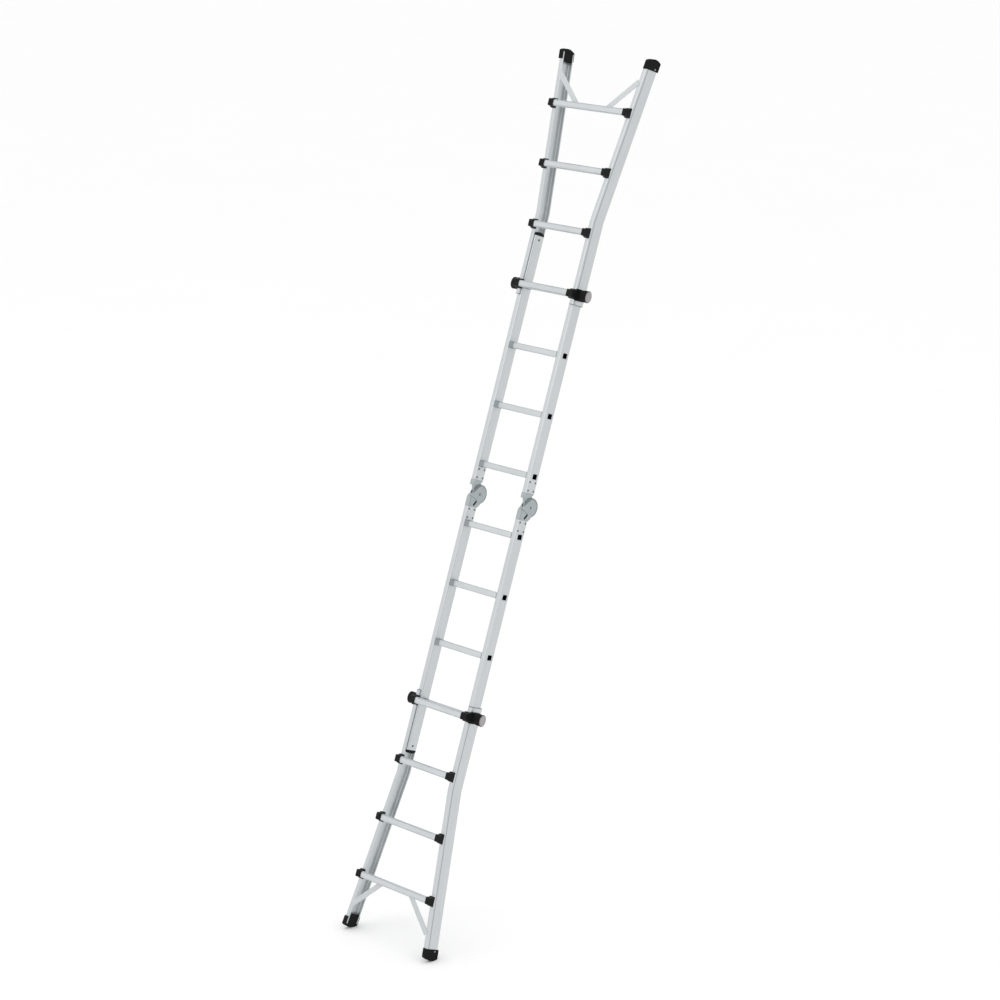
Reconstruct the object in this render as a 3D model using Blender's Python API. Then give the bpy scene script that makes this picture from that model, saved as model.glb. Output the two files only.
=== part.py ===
"""Multi position ladder: two telescopic sections joined by a pair of locking hinges.

Everything is laid out in the ladder's own frame and then leaned back as one:
x runs across the ladder, y from the climbing side (-y) to the back (+y) and z along
the stiles, with the hinge axis at z = 0 and the rung axes of the inner section at y = 0.
Each stile piece is drawn once, for the right stile of the upper half, and mirrored.
"""
import math

import bmesh
import bpy
from mathutils import Matrix, Vector

# ---- driving dimensions, metres ------------------------------------------------------
RUNG_PITCH = 0.280
RUNGS_PER_SECTION = 4
LEAN_ANGLE = math.radians(19.5)         # how far the straight ladder leans back
GAP = 0.0003                            # clearance between pieces that touch

INNER_OUTBOARD = 0.1805                 # outboard face of the inner stile, from the centre
INNER_WIDTH = 0.026
INNER_FRONT, INNER_BACK = -0.031, 0.025
INNER_WALL = 0.002
INNER_START = 0.0633                    # where the stile meets the hinge leaf
INNER_END = 1.2115

OUTER_OUTBOARD = 0.1855                 # outboard face of the outer channel
OUTER_FLANGE = 0.023
OUTER_FRONT, OUTER_BACK = -0.038, 0.032
OUTER_WALL = 0.004
LIP_DEPTH, LIP_WIDTH = 0.006, 0.004     # thickened flange edges that guide the inner stile
OUTER_START = 0.932
OUTER_END = 2.062
BEND_AT = 1.320                         # the outer stiles flare beyond this height
FLARE = 0.1314                          # sideways run per metre of stile
GROOVE_AT, GROOVE_WIDTH, GROOVE_DEPTH = -0.0275, 0.006, 0.001

INNER_RUNG_SIZE = (0.030, 0.028)        # depth, height
OUTER_RUNG_SIZE = (0.024, 0.030)
RUNG_WALL = 0.002
COLLAR_LENGTH, COLLAR_GROWTH = 0.014, 0.0005
COLLAR_FRONT, COLLAR_BACK = -0.0305, 0.0245
OUTER_RUNG_Y = -0.052

BRACKET_LENGTH = 0.030
BRACKET_WALL = 0.0035
BRACKET_SLEEVE = 0.017                  # half height round the rung
BRACKET_BASE = 0.023                    # half height on the flange

KNOB_Y = -0.008
KNOB_RADII = (0.0205, 0.0275)           # half depth and half height of the oval grip
KNOB_START, KNOB_END = 0.2150, 0.2435
KNOB_WALL = 0.004
NECK_RADII = (0.0185, 0.0255)
NECK_END = 0.2175
PAD_THICKNESS = 0.006
BOLT_RADIUS = 0.005
BOLT_TIP = 0.1818

FOOT_START, FOOT_SIDE, FOOT_TIP = 2.028, 2.068, 2.080
FOOT_WALL = 0.003
PLUG_START = 2.020

PIVOT_Y = 0.026
CHEEK_RADIUS, CHEEK_THICKNESS, CHEEK_RECESS = 0.045, 0.0055, 0.0025
TONGUE_RADIUS = 0.032
FACET_REACH, FACET_SLOPE = 0.031, 0.26  # flat cut on the cheek: distance from the pivot, fall
HINGE_PIN_RADIUS = 0.007
LEAF_PLUG_END = 0.125
RIVET_RADIUS, RIVET_HEAD = 0.0040, 0.0005
RIVET_ROWS = (0.0741, 0.1132)
RIVET_COLUMNS = (-0.0206, 0.0145)
PLUG_RIVET = (-0.0035, 1.192)           # depth and height of the rivet in the stile's end
FOOT_RIVET = (0.012, 2.037)
SLOT_TOP, SLOT_BOTTOM, SLOT_WIDTH = (0.0120, -0.0345), (0.0010, -0.0525), 0.0090
CATCH_LENGTH = 0.0090

BRACE_WIDTH, BRACE_THICKNESS = 0.026, 0.003
BRACE_FOOT_X, BRACE_TOP_Z = 0.088, 1.966

ALUMINIUM = ("aluminium", (0.62, 0.64, 0.66), 0.38, 1.0)
PLASTIC = ("black_plastic", (0.014, 0.014, 0.015), 0.45, 0.0)
CASTING = ("cast_hinge", (0.44, 0.48, 0.49), 0.45, 0.6)
RUBBER = ("black_rubber", (0.012, 0.012, 0.012), 0.75, 0.0)
STEEL = ("steel", (0.55, 0.55, 0.54), 0.3, 1.0)


# ---- scene helpers -------------------------------------------------------------------
for old in list(bpy.data.objects):
    bpy.data.objects.remove(old, do_unlink=True)

parts = bpy.data.collections.new("multi_position_ladder")
cutters = bpy.data.collections.new("cutters")
for collection in (parts, cutters):
    bpy.context.scene.collection.children.link(collection)


def empty(name, location=(0.0, 0.0, 0.0), parent=None):
    marker = bpy.data.objects.new(name, None)
    marker.location = location
    marker.parent = parent
    parts.objects.link(marker)
    return marker


lean = empty("lean")
lean.rotation_euler = (-LEAN_ANGLE, 0.0, 0.0)
PIVOT = Vector((0.0, PIVOT_Y, 0.0))
body_axes = {
    "lower_outer": empty("lower_outer_axis", parent=lean),
    "lower_inner": empty("lower_inner_axis", parent=lean),
    "upper_inner": empty("fold_axis", PIVOT, lean),
    "upper_outer": empty("upper_outer_axis", PIVOT, lean),
}


def add_part(name, mesh, finish, body):
    """Adds one piece under the empty of the body that carries it."""
    label, colour, roughness, metallic = finish
    material = bpy.data.materials.new(name + "_" + label)
    material.use_nodes = True
    shader = material.node_tree.nodes["Principled BSDF"]
    shader.inputs["Base Color"].default_value = (*colour, 1.0)
    shader.inputs["Roughness"].default_value = roughness
    shader.inputs["Metallic"].default_value = metallic
    mesh.materials.clear()
    mesh.materials.append(material)
    mesh.shade_smooth()
    mesh.set_sharp_from_angle(angle=math.radians(35))
    piece = bpy.data.objects.new(name, mesh)
    parts.objects.link(piece)
    piece.parent = body_axes[body]
    mesh.transform(Matrix.Translation(-body_axes[body].location))
    return piece


# ---- mesh helpers --------------------------------------------------------------------
def finish_mesh(bm, name="shape"):
    bmesh.ops.recalc_face_normals(bm, faces=bm.faces)
    mesh = bpy.data.meshes.new(name)
    bm.to_mesh(mesh)
    bm.free()
    return mesh


def box(low, high, bevel=0.0, segments=2):
    bm = bmesh.new()
    size = Vector(high) - Vector(low)
    middle = (Vector(high) + Vector(low)) / 2
    matrix = Matrix.Translation(middle) @ Matrix.Diagonal((*size, 1.0))
    bmesh.ops.create_cube(bm, size=1.0, matrix=matrix)
    if bevel:
        bmesh.ops.bevel(bm, geom=bm.edges[:], offset=bevel, segments=segments,
                        profile=0.5, affect="EDGES", clamp_overlap=True)
    return finish_mesh(bm)


def rod(centre, radii, x_low, x_high, segments=20):
    """Oval bar along x; radii are its half depth (y) and half height (z)."""
    bm = bmesh.new()
    middle = Vector(((x_low + x_high) / 2, centre[0], centre[1]))
    turn = Matrix.Rotation(math.pi / 2, 4, "Y")
    stretch = Matrix.Diagonal((1.0, radii[0], radii[1], 1.0))
    matrix = Matrix.Translation(middle) @ stretch @ turn
    bmesh.ops.create_cone(bm, cap_ends=True, segments=segments, radius1=1.0, radius2=1.0,
                          depth=x_high - x_low, matrix=matrix)
    return finish_mesh(bm)


def flat_shape(outlines, low, high, plane):
    """Solid between low and high with the given closed outlines, later ones being holes.

    plane "yz" extrudes along x, "xy" along z and "xz" along y.
    """
    curve = bpy.data.curves.new("outline", "CURVE")
    curve.dimensions = "2D"
    curve.fill_mode = "BOTH"
    curve.extrude = (high - low) / 2
    for points in outlines:
        spline = curve.splines.new("POLY")
        spline.points.add(len(points) - 1)
        for point, (a, b) in zip(spline.points, points):
            point.co = (a, b, 0.0, 1.0)
        spline.use_cyclic_u = True
    holder = bpy.data.objects.new("outline", curve)
    bpy.context.scene.collection.objects.link(holder)
    depsgraph = bpy.context.evaluated_depsgraph_get()
    mesh = bpy.data.meshes.new_from_object(holder.evaluated_get(depsgraph))
    bpy.data.objects.remove(holder)
    axes = {
        "yz": Matrix(((0, 0, 1), (1, 0, 0), (0, 1, 0))),
        "xy": Matrix.Identity(3),
        "xz": Matrix(((1, 0, 0), (0, 0, 1), (0, 1, 0))),
    }[plane]
    middle = (low + high) / 2
    bm = bmesh.new()
    bm.from_mesh(mesh)
    bmesh.ops.remove_doubles(bm, verts=bm.verts, dist=1e-5)
    for vert in bm.verts:
        vert.co = axes @ (vert.co + Vector((0.0, 0.0, middle)))
    return finish_mesh(bm)


def rounded(low, high, radius, segments=2):
    """Rectangle outline with round corners."""
    points = []
    corners = ((high[0], high[1], 0), (low[0], high[1], 1),
               (low[0], low[1], 2), (high[0], low[1], 3))
    for x, y, quarter in corners:
        middle_x = x - radius if quarter in (0, 3) else x + radius
        middle_y = y - radius if quarter in (0, 1) else y + radius
        for step in range(segments + 1):
            angle = (quarter + step / segments) * math.pi / 2
            points.append((middle_x + radius * math.cos(angle),
                           middle_y + radius * math.sin(angle)))
    return points


def arc(centre, radius, start, stop, count):
    """Points along an arc, angles in degrees."""
    angles = [math.radians(start + (stop - start) * i / count) for i in range(count + 1)]
    return [(centre[0] + radius * math.cos(a), centre[1] + radius * math.sin(a))
            for a in angles]


def boolean(base, operation, *others):
    """Joins or cuts meshes and returns the result as a new mesh."""
    target = bpy.data.objects.new("target", base)
    bpy.context.scene.collection.objects.link(target)
    helpers = []
    for other in others:
        helper = bpy.data.objects.new("cutter", other)
        helper.hide_render = True
        helper.display_type = "WIRE"
        cutters.objects.link(helper)
        helpers.append(helper)
        modifier = target.modifiers.new("join", "BOOLEAN")
        modifier.solver = "EXACT"
        modifier.operation = operation
        modifier.object = helper
    depsgraph = bpy.context.evaluated_depsgraph_get()
    result = bpy.data.meshes.new_from_object(target.evaluated_get(depsgraph))
    for used in (target, *helpers):
        bpy.data.objects.remove(used)
    bm = bmesh.new()
    bm.from_mesh(result)
    bmesh.ops.remove_doubles(bm, verts=bm.verts, dist=5e-6)
    return finish_mesh(bm)


def mirrored(mesh, across=False, along=False):
    """Copy of a mesh turned to the left stile (across) or to the lower half (along)."""
    copy = mesh.copy()
    copy.transform(Matrix.Diagonal((-1 if across else 1, 1, -1 if along else 1, 1)))
    if across != along:
        copy.flip_normals()
    return copy


def flared(mesh):
    """Moves every point outboard by the stile's flare at its height."""
    for vert in mesh.vertices:
        vert.co.x += stile_shift(vert.co.z)
    return mesh


def stile_shift(height):
    return FLARE * max(0.0, height - BEND_AT)


def rung_height(step):
    """Height of rung number step, counted from the hinge."""
    return (step + 0.5) * RUNG_PITCH


def place_on_every_stile(label, mesh, finish, section):
    """Adds the right upper piece and its three mirror images."""
    for half in ("lower", "upper"):
        for side in ("left", "right"):
            copy = mirrored(mesh, across=side == "left", along=half == "lower")
            add_part(f"{half}_{label}_{side}", copy, finish, f"{half}_{section}")


# ---- stiles --------------------------------------------------------------------------
INNER_INBOARD = INNER_OUTBOARD - INNER_WIDTH
OUTER_INBOARD = OUTER_OUTBOARD - OUTER_FLANGE


def inner_stile():
    """Box section, punched for its four rungs, the hinge rivets and the end plug's rivet."""
    skin = rounded((INNER_INBOARD, INNER_FRONT), (INNER_OUTBOARD, INNER_BACK), 0.004)
    hollow = rounded((INNER_INBOARD + INNER_WALL, INNER_FRONT + INNER_WALL),
                     (INNER_OUTBOARD - INNER_WALL, INNER_BACK - INNER_WALL), 0.002, 1)
    bar = flat_shape([skin], INNER_START, INNER_END, "xy")
    bore = flat_shape([hollow], INNER_START - 0.01, INNER_END + 0.01, "xy")
    tube = boolean(bar, "DIFFERENCE", bore)
    depth, height = (size / 2 + GAP for size in INNER_RUNG_SIZE)
    holes = []
    for step in range(RUNGS_PER_SECTION):
        z = rung_height(step)
        outline = rounded((-depth, z - height), (depth, z + height), 0.004 + GAP)
        holes.append(flat_shape([outline], INNER_INBOARD - 0.01, INNER_OUTBOARD + 0.01, "yz"))
    for y, z in rivet_places():
        holes.append(rod((y, z), (RIVET_RADIUS + GAP,) * 2, INNER_INBOARD - 0.01,
                         INNER_OUTBOARD + 0.01, 8))
    holes.append(rod(PLUG_RIVET, (0.003 + GAP,) * 2, INNER_INBOARD - 0.01,
                     INNER_INBOARD + 0.01, 8))
    return boolean(tube, "DIFFERENCE", *holes)


def rivet_places():
    return [(y, z) for y in RIVET_COLUMNS for z in RIVET_ROWS]


def outer_stile():
    """Channel open towards the other stile, flared beyond the second rung."""
    out, inn = OUTER_OUTBOARD, OUTER_INBOARD
    front, back = OUTER_FRONT, OUTER_BACK
    wall = OUTER_WALL
    groove_low, groove_high = (GROOVE_AT + side * GROOVE_WIDTH / 2 for side in (-1, 1))
    profile = [
        *arc((inn + 0.0015, front + 0.0015), 0.0015, 180, 270, 2),
        *arc((out - 0.005, front + 0.005), 0.005, -90, 0, 3),
        (out, groove_low), (out - GROOVE_DEPTH, groove_low + 0.0008),
        (out - GROOVE_DEPTH, groove_high - 0.0008), (out, groove_high),
        *arc((out - 0.005, back - 0.005), 0.005, 0, 90, 3),
        *arc((inn + 0.0015, back - 0.0015), 0.0015, 90, 180, 2),
        (inn, back - LIP_DEPTH), (inn + LIP_WIDTH, back - LIP_DEPTH),
        (inn + LIP_WIDTH + 0.002, back - wall), (out - wall - 0.002, back - wall),
        (out - wall, back - wall - 0.002), (out - wall, front + wall + 0.002),
        (out - wall - 0.002, front + wall), (inn + LIP_WIDTH + 0.002, front + wall),
        (inn + LIP_WIDTH, front + LIP_DEPTH), (inn, front + LIP_DEPTH),
    ]
    straight = flat_shape([profile], OUTER_START, OUTER_END, "xy")
    bm = bmesh.new()
    bm.from_mesh(straight)
    bmesh.ops.bisect_plane(bm, geom=bm.verts[:] + bm.edges[:] + bm.faces[:],
                           plane_co=(0, 0, BEND_AT), plane_no=(0, 0, 1))
    channel = flared(finish_mesh(bm))
    lock_hole = rod((0.0, rung_height(3)), (BOLT_RADIUS + 0.001,) * 2,
                    OUTER_OUTBOARD - 0.01, OUTER_OUTBOARD + 0.01, 12)
    channel = boolean(channel, "DIFFERENCE", lock_hole)
    return boolean(channel, "UNION", brace())


def brace():
    """Flat stay from behind the end rung up to the front flange."""
    end_rung = rung_height(6)
    top = Vector((OUTER_INBOARD + stile_shift(BRACE_TOP_Z) + 0.003, BRACE_TOP_Z))
    foot = Vector((BRACE_FOOT_X, end_rung))
    run = (top - foot).normalized()
    side = Vector((-run.y, run.x)) * BRACE_WIDTH / 2
    low_cut = end_rung - OUTER_RUNG_SIZE[1] / 2 + 0.003
    slope = run.x / run.y
    outline = [
        (foot.x - side.x + (low_cut - (foot.y - side.y)) * slope, low_cut),
        tuple(top - side),
        tuple(top + side),
        (foot.x + side.x + (low_cut - (foot.y + side.y)) * slope, low_cut),
    ]
    back_of_rung = OUTER_RUNG_Y + OUTER_RUNG_SIZE[0] / 2
    return flat_shape([outline], back_of_rung + GAP, back_of_rung + GAP + BRACE_THICKNESS, "xz")


# ---- rungs ---------------------------------------------------------------------------
def tube_rung(half_length, size, y, z, radius):
    depth, height = size[0] / 2, size[1] / 2
    skin = rounded((y - depth, z - height), (y + depth, z + height), radius)
    hollow = rounded((y - depth + RUNG_WALL, z - height + RUNG_WALL),
                     (y + depth - RUNG_WALL, z + height - RUNG_WALL), radius - 0.001, 1)
    return flat_shape([skin, hollow], -half_length, half_length, "yz")


def rung_collar(z):
    """Ferrule that narrows from the stile's whole inboard face down to the rung."""
    depth, height = (size / 2 + COLLAR_GROWTH for size in INNER_RUNG_SIZE)
    shoulder = INNER_INBOARD - GAP
    middle, half = (COLLAR_FRONT + COLLAR_BACK) / 2, (COLLAR_BACK - COLLAR_FRONT) / 2
    outline = rounded((COLLAR_FRONT, z - height), (COLLAR_BACK, z + height), 0.004)
    collar = flat_shape([outline], shoulder - COLLAR_LENGTH, shoulder, "yz")
    for vert in collar.vertices:
        if vert.co.x < shoulder - COLLAR_LENGTH / 2:
            vert.co.y = (vert.co.y - middle) * depth / half
    return collar


def inner_rung(z):
    """Tube through both inner stiles, with a collar against each of them."""
    depth, height = (size / 2 for size in INNER_RUNG_SIZE)
    end = INNER_OUTBOARD - GAP
    skin = rounded((-depth, z - height), (depth, z + height), 0.004)
    hollow = rounded((-depth + RUNG_WALL, z - height + RUNG_WALL),
                     (depth - RUNG_WALL, z + height - RUNG_WALL), 0.003, 1)
    bar = flat_shape([skin], -end, end, "yz")
    collar = rung_collar(z)
    solid = boolean(bar, "UNION", collar, mirrored(collar, across=True))
    return boolean(solid, "DIFFERENCE", flat_shape([hollow], -end - 0.01, end + 0.01, "yz"))


def build_rungs():
    for half in ("lower", "upper"):
        sign = -1 if half == "lower" else 1
        for step in range(RUNGS_PER_SECTION):
            z = sign * rung_height(step)
            add_part(f"{half}_inner_rung_{step + 1}", inner_rung(z), ALUMINIUM, f"{half}_inner")
        for step in range(3, 3 + RUNGS_PER_SECTION):
            z = rung_height(step)
            reach = OUTER_OUTBOARD + stile_shift(z) - BRACKET_WALL - GAP
            rung = tube_rung(reach, OUTER_RUNG_SIZE, OUTER_RUNG_Y, sign * z, 0.006)
            add_part(f"{half}_outer_rung_{step - 2}", rung, ALUMINIUM, f"{half}_outer")


# ---- rung brackets and slide locks ---------------------------------------------------
def bracket_body(z, outboard, inboard):
    """Socket that holds a rung end on the front flange: narrow at the rung, wide behind."""
    face = OUTER_FRONT - GAP
    nose = OUTER_RUNG_Y - OUTER_RUNG_SIZE[0] / 2 - 0.003
    half = [(nose, BRACKET_SLEEVE - 0.004), (nose + 0.004, BRACKET_SLEEVE),
            (face - 0.011, BRACKET_SLEEVE + 0.001), (face - 0.007, BRACKET_BASE - 0.001),
            (face, BRACKET_BASE)]
    outline = [(y, z + h) for y, h in half] + [(y, z - h) for y, h in reversed(half)]
    return flat_shape([outline], inboard, outboard, "yz")


def rung_pocket(z, outboard):
    depth, height = (size / 2 + GAP for size in OUTER_RUNG_SIZE)
    outline = rounded((OUTER_RUNG_Y - depth, z - height), (OUTER_RUNG_Y + depth, z + height),
                      0.006 + GAP)
    return flat_shape([outline], outboard - 0.08, outboard - BRACKET_WALL, "yz")


def rung_bracket(step):
    z = rung_height(step)
    outboard = OUTER_OUTBOARD + stile_shift(z)
    body = bracket_body(z, outboard, outboard - BRACKET_LENGTH)
    return boolean(body, "DIFFERENCE", rung_pocket(z, outboard))


def lock_housing():
    """Rung socket that wraps the stile's corner and carries the guide of the lock bolt."""
    z = rung_height(3)
    web = OUTER_OUTBOARD + GAP
    pad_face = web + PAD_THICKNESS
    socket = bracket_body(z, OUTER_OUTBOARD, OUTER_OUTBOARD - BRACKET_LENGTH)
    wrap = bracket_body(z, pad_face, OUTER_OUTBOARD - 0.001)
    pad = flat_shape([rounded((OUTER_FRONT - 0.004, z - 0.0265), (0.019, z + 0.0265), 0.006)],
                     web, pad_face - 0.0005, "yz")
    neck = rod((KNOB_Y, z), NECK_RADII, web + 0.001, NECK_END, 20)
    solid = boolean(socket, "UNION", wrap, pad, neck)
    bore = rod((0.0, z), (BOLT_RADIUS + 0.0005,) * 2, web - 0.01, NECK_END + 0.01, 10)
    return boolean(solid, "DIFFERENCE", rung_pocket(z, OUTER_OUTBOARD), bore)


def lock_knob():
    """Oval push knob that slides over the neck, with its bolt."""
    z = rung_height(3)
    grip = rod((KNOB_Y, z), KNOB_RADII, KNOB_START, KNOB_END, 20)
    bm = bmesh.new()
    bm.from_mesh(grip)
    rim = [edge for edge in bm.edges
           if all(vert.co.x > KNOB_END - 1e-4 for vert in edge.verts)]
    bmesh.ops.bevel(bm, geom=rim, offset=0.0015, segments=2, profile=0.5, affect="EDGES")
    grip = finish_mesh(bm)
    space = rod((KNOB_Y, z), (NECK_RADII[0] + 0.0006, NECK_RADII[1] + 0.0006),
                KNOB_START - 0.01, KNOB_END - 0.0035, 20)
    bolt = rod((0.0, z), (BOLT_RADIUS,) * 2, BOLT_TIP, KNOB_END - 0.002, 10)
    return boolean(boolean(grip, "DIFFERENCE", space), "UNION", bolt)


# ---- feet and plugs ------------------------------------------------------------------
def foot_cap():
    """Cap over the stile end with a rounded sole and a plug inside the channel."""
    front, back = OUTER_FRONT - FOOT_WALL, OUTER_BACK + FOOT_WALL
    middle, half = (front + back) / 2, (back - front) / 2
    rise = FOOT_TIP - FOOT_SIDE
    radius = (half * half + rise * rise) / (2 * rise)
    spread = math.degrees(math.asin(half / radius))
    sole = arc((middle, FOOT_TIP - radius), radius, 90 - spread, 90 + spread, 12)
    outline = [(front, FOOT_START), (back, FOOT_START), *sole]
    cap = flat_shape([outline], OUTER_INBOARD, OUTER_OUTBOARD + FOOT_WALL, "yz")
    seat = box((OUTER_INBOARD - 0.01, OUTER_FRONT - GAP, FOOT_START - 0.01),
               (OUTER_OUTBOARD + GAP, OUTER_BACK + GAP, OUTER_END + GAP))
    lip = LIP_DEPTH + GAP
    plug = box((OUTER_INBOARD, OUTER_FRONT + lip, PLUG_START),
               (OUTER_OUTBOARD - OUTER_WALL - GAP, OUTER_BACK - lip, OUTER_END + 0.002))
    cap = boolean(cap, "DIFFERENCE", seat)
    rivet = rod(FOOT_RIVET, (0.004, 0.004), OUTER_OUTBOARD + 0.001,
                OUTER_OUTBOARD + FOOT_WALL + 0.0012, 12)
    return flared(boolean(cap, "UNION", plug, rivet))


def stile_plug():
    """Rounded plug that closes the end of the inner stile, held by one rivet."""
    inset = INNER_WALL + GAP
    front, back = INNER_FRONT + 0.0005, INNER_BACK - 0.0005
    middle, half = (front + back) / 2, (back - front) / 2
    crown = [(middle + half * math.cos(math.pi * i / 10),
              INNER_END + 0.005 + 0.011 * math.sin(math.pi * i / 10)) for i in range(11)]
    outline = [(front, INNER_END + GAP), (back, INNER_END + GAP), *crown]
    head = flat_shape([outline], INNER_INBOARD + 0.0005, INNER_OUTBOARD - 0.0005, "yz")
    shank = box((INNER_INBOARD + inset, INNER_FRONT + inset, INNER_END - 0.035),
                (INNER_OUTBOARD - inset, INNER_BACK - inset, INNER_END + 0.002), 0.002, 1)
    rivet = rod(PLUG_RIVET, (0.003, 0.003), INNER_INBOARD - RIVET_HEAD,
                INNER_INBOARD + 0.006, 8)
    return boolean(head, "UNION", shank, rivet)


# ---- hinges --------------------------------------------------------------------------
CHEEK_OUT = INNER_OUTBOARD - CHEEK_RECESS
CHEEK_IN = INNER_INBOARD + CHEEK_RECESS
TONGUE_OUT = CHEEK_OUT - CHEEK_THICKNESS - GAP
TONGUE_IN = CHEEK_IN + CHEEK_THICKNESS + GAP
HINGE = (PIVOT_Y, 0.0)


def leaf_plug(sign):
    """The part of a leaf inside its stile, with the four rivets that hold it."""
    inset = INNER_WALL + GAP
    low, high = sorted((sign * (INNER_START - 0.002), sign * LEAF_PLUG_END))
    block = box((INNER_INBOARD + inset, INNER_FRONT + inset, low),
                (INNER_OUTBOARD - inset, INNER_BACK - inset, high), 0.002, 1)
    rivets = [rod((y, sign * z), (RIVET_RADIUS,) * 2, INNER_INBOARD - RIVET_HEAD,
                  INNER_OUTBOARD + RIVET_HEAD, 8) for y, z in rivet_places()]
    return boolean(block, "UNION", *rivets)


def lower_leaf():
    """Casting with two round cheeks and the slot of the release catch."""
    end = -INNER_START + GAP
    front, back = INNER_FRONT, INNER_BACK
    body = [(front, end), (back, end), (back + 0.004, -0.057), (0.0215, -0.047),
            (0.0180, -0.036), (0.0132, -0.0300), (0.0028, -0.0269), (-0.0122, -0.0203),
            (-0.0215, -0.0168), (front, -0.0152)]
    block = flat_shape([body], INNER_INBOARD, INNER_OUTBOARD, "yz")
    shoulder = [(front, -0.0150), (front, -0.030), (-0.005, -0.030), (-0.010, -0.015),
                (-0.0165, -0.0035), (-0.0195, -0.0012)]
    block = boolean(block, "UNION", flat_shape([shoulder], CHEEK_IN, CHEEK_OUT, "yz"))
    cheek = [*arc(HINGE, CHEEK_RADIUS, -64, 222, 26), (-0.002, -0.058), (0.0330, -0.0565),
             (0.0400, -0.0480)]
    sides = [cheek_plate(cheek, CHEEK_OUT, -1), cheek_plate(cheek, CHEEK_IN, 1)]
    relief = rod(HINGE, (TONGUE_RADIUS + 0.001,) * 2, TONGUE_IN - GAP, TONGUE_OUT + GAP, 28)
    back_relief = box((TONGUE_IN - GAP, 0.026, -0.0605), (TONGUE_OUT + GAP, 0.09, 0.02))
    solid = boolean(block, "DIFFERENCE", relief, back_relief)
    solid = boolean(solid, "UNION", *sides, leaf_plug(-1))
    pin_hole = rod(HINGE, (HINGE_PIN_RADIUS + GAP,) * 2, 0.1, 0.2, 16)
    return boolean(solid, "DIFFERENCE", pin_hole, slot_shape(SLOT_TOP, SLOT_BOTTOM,
                                                             SLOT_WIDTH / 2, 0.1, 0.2))


def cheek_plate(outline, face, inward):
    """Side plate of the lower leaf, its face cut away towards the front and the top."""
    plate = flat_shape([outline], *sorted((face, face + inward * CHEEK_THICKNESS)), "yz")
    outward = Vector((-math.sin(math.radians(45)), math.cos(math.radians(45))))
    along = Vector((outward.y, -outward.x))
    near, far = FACET_REACH, CHEEK_RADIUS + 0.005
    section = [(near, face), (far, face + inward * (far - near) * FACET_SLOPE),
               (far, face - inward * 0.002), (near, face - inward * 0.002)]
    bm = bmesh.new()
    loops = []
    for run in (-0.05, 0.05):
        places = [Vector(HINGE) + outward * reach + along * run for reach, _ in section]
        loops.append([bm.verts.new((x, place.x, place.y))
                      for place, (_, x) in zip(places, section)])
    for i in range(4):
        j = (i + 1) % 4
        bm.faces.new((loops[0][i], loops[0][j], loops[1][j], loops[1][i]))
    bm.faces.new(loops[0][::-1])
    bm.faces.new(loops[1])
    return boolean(plate, "DIFFERENCE", finish_mesh(bm))


def slot_shape(top, bottom, radius, x_low, x_high):
    """Bar with round ends between two points of the side view."""
    a, b = Vector(top), Vector(bottom)
    heading = math.degrees(math.atan2(b.y - a.y, b.x - a.x))
    outline = [*arc(a, radius, heading + 90, heading + 270, 4),
               *arc(b, radius, heading - 90, heading + 90, 4)]
    return flat_shape([outline], x_low, x_high, "yz")


def hinge_catch():
    """Release catch: a bar across the hinge, at the upper end of its slot."""
    a, b = Vector(SLOT_TOP), Vector(SLOT_BOTTOM)
    run = (b - a).normalized()
    return slot_shape(a + run * 0.0006, a + run * (0.0006 + CATCH_LENGTH),
                      SLOT_WIDTH / 2 - 0.0006, INNER_INBOARD + 0.0005, INNER_OUTBOARD - 0.0005)


def upper_leaf():
    """Casting with one tongue between the cheeks of the lower leaf."""
    end = INNER_START - GAP
    front, back = INNER_FRONT, INNER_BACK
    body = [(front, end), (front, 0.038), (front + 0.002, 0.036), (0.0125, 0.0500),
            (back - 0.001, 0.0625), (back - 0.001, end)]
    block = flat_shape([body], INNER_INBOARD, INNER_OUTBOARD, "yz")
    tongue = [(front + 0.005, 0.036), *arc(HINGE, TONGUE_RADIUS, 205, 420, 18),
              (0.016, 0.058), (front + 0.005, 0.045)]
    web = flat_shape([tongue], TONGUE_IN, TONGUE_OUT, "yz")
    solid = boolean(block, "UNION", web, leaf_plug(1))
    pin_hole = rod(HINGE, (HINGE_PIN_RADIUS + GAP,) * 2, 0.1, 0.2, 16)
    return boolean(solid, "DIFFERENCE", pin_hole)


def hinge_pin():
    return rod(HINGE, (HINGE_PIN_RADIUS,) * 2, CHEEK_IN + GAP, CHEEK_OUT - GAP, 16)


def build_hinges():
    pieces = (("hinge_lower_leaf", lower_leaf(), CASTING, "lower_inner"),
              ("hinge_upper_leaf", upper_leaf(), CASTING, "upper_inner"),
              ("hinge_pin", hinge_pin(), STEEL, "lower_inner"),
              ("hinge_catch", hinge_catch(), PLASTIC, "lower_inner"))
    for label, mesh, finish, body in pieces:
        for side in ("left", "right"):
            add_part(f"{label}_{side}", mirrored(mesh, across=side == "left"), finish, body)


# ---- assembly ------------------------------------------------------------------------
place_on_every_stile("inner_stile", inner_stile(), ALUMINIUM, "inner")
place_on_every_stile("outer_stile", outer_stile(), ALUMINIUM, "outer")
place_on_every_stile("stile_plug", stile_plug(), PLASTIC, "inner")
place_on_every_stile("foot", foot_cap(), RUBBER, "outer")
for bracket_step in (4, 5, 6):
    place_on_every_stile(f"bracket_{bracket_step - 2}", rung_bracket(bracket_step), PLASTIC,
                         "outer")
place_on_every_stile("lock_housing", lock_housing(), PLASTIC, "outer")
place_on_every_stile("lock_knob", lock_knob(), PLASTIC, "outer")
build_rungs()
build_hinges()


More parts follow.
